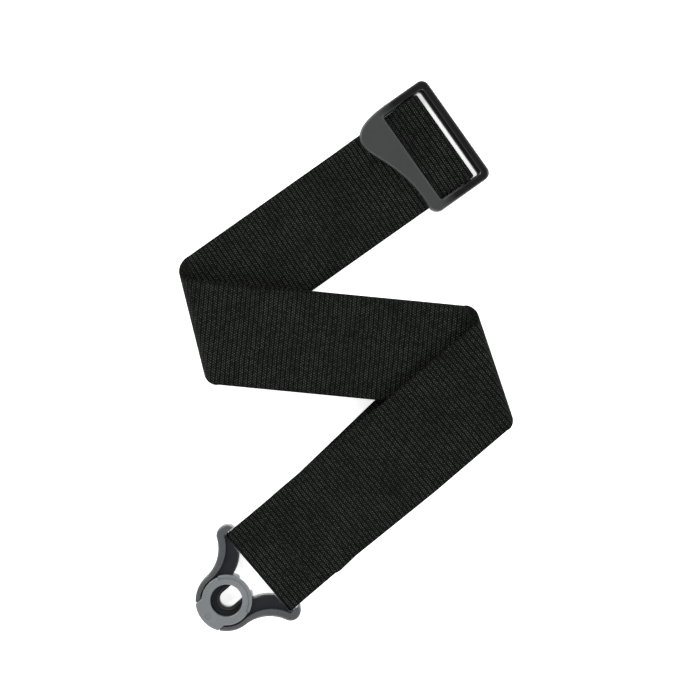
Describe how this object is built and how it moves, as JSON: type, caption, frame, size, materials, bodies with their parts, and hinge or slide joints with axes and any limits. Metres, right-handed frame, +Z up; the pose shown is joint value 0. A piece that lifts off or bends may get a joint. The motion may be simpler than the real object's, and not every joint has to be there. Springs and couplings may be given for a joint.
{
  "type": "guitar strap",
  "caption": "Woven webbing guitar strap folded flat into a Z, with a press-to-open button lock at each end and a three-bar lever adjuster.",
  "frame": {"origin": "centre of the folded strap's footprint, on the surface it lies on", "axes": "+Z up from the surface, +Y along the folded strap's longest extent from the lock end to the adjuster end"},
  "size_m": [0.166, 0.2742, 0.0188],
  "materials": {
    "webbing": "coarse ribbed weave",
    "thread": "twisted thread",
    "lock_housing": "fine moulded texture",
    "lock_core": "satin",
    "lock_ring": "satin",
    "steel": "plain",
    "adjuster": "soft sheen"
  },
  "bodies": {
    "strap": {"webbing": "webbing", "lock_a_stitching": "thread", "adjuster_stitching": "thread", "lock_b_rear_shell": "lock_housing", "lock_b_core": "lock_core", "lock_b_rim_left": "lock_housing", "lock_b_rim_right": "lock_housing", "lock_b_ring_springs": "steel", "lock_b_screws": "steel", "lock_b_strap_bar": "steel"},
    "lock_a": {"lock_a_rear_shell": "lock_housing", "lock_a_core": "lock_core", "lock_a_rim_left": "lock_housing", "lock_a_rim_right": "lock_housing", "lock_a_ring_springs": "steel", "lock_a_screws": "steel", "lock_a_strap_bar": "steel"},
    "lock_a_ring": {"lock_a_release_ring": "lock_ring"},
    "lock_b_ring": {"lock_b_release_ring": "lock_ring"},
    "adjuster": {"adjuster_frame": "adjuster"}
  },
  "joints": [
    {"name": "lock_a_swing", "type": "hinge", "parent": "strap", "child": "lock_a", "pos_m": [-0.0412, -0.1067, 0.0042], "axis": [-0.6481, 0.7615, 0], "range_deg": [-85, 85]},
    {"name": "lock_a_release", "type": "hinge", "parent": "lock_a", "child": "lock_a_ring", "pos_m": [-0.06291, -0.12518, 0.0053], "axis": [0.6481, -0.7615, 0], "range_deg": [0, 12], "stiffness_Nm_per_rad": 0.005, "springref_deg": -17.19, "deforming": ["lock_a_ring_springs"]},
    {"name": "lock_b_release", "type": "hinge", "parent": "strap", "child": "lock_b_ring", "pos_m": [0.05947, -0.01349, 0.0031], "axis": [0.6921, -0.7218, 0], "range_deg": [0, 12], "stiffness_Nm_per_rad": 0.005, "springref_deg": -17.19, "deforming": ["lock_b_ring_springs"]},
    {"name": "adjuster_tilt", "type": "hinge", "parent": "strap", "child": "adjuster", "pos_m": [0.04675, 0.10757, 0.0043], "axis": [-0.5764, 0.8171, 0], "range_deg": [0, 35]}
  ]
}
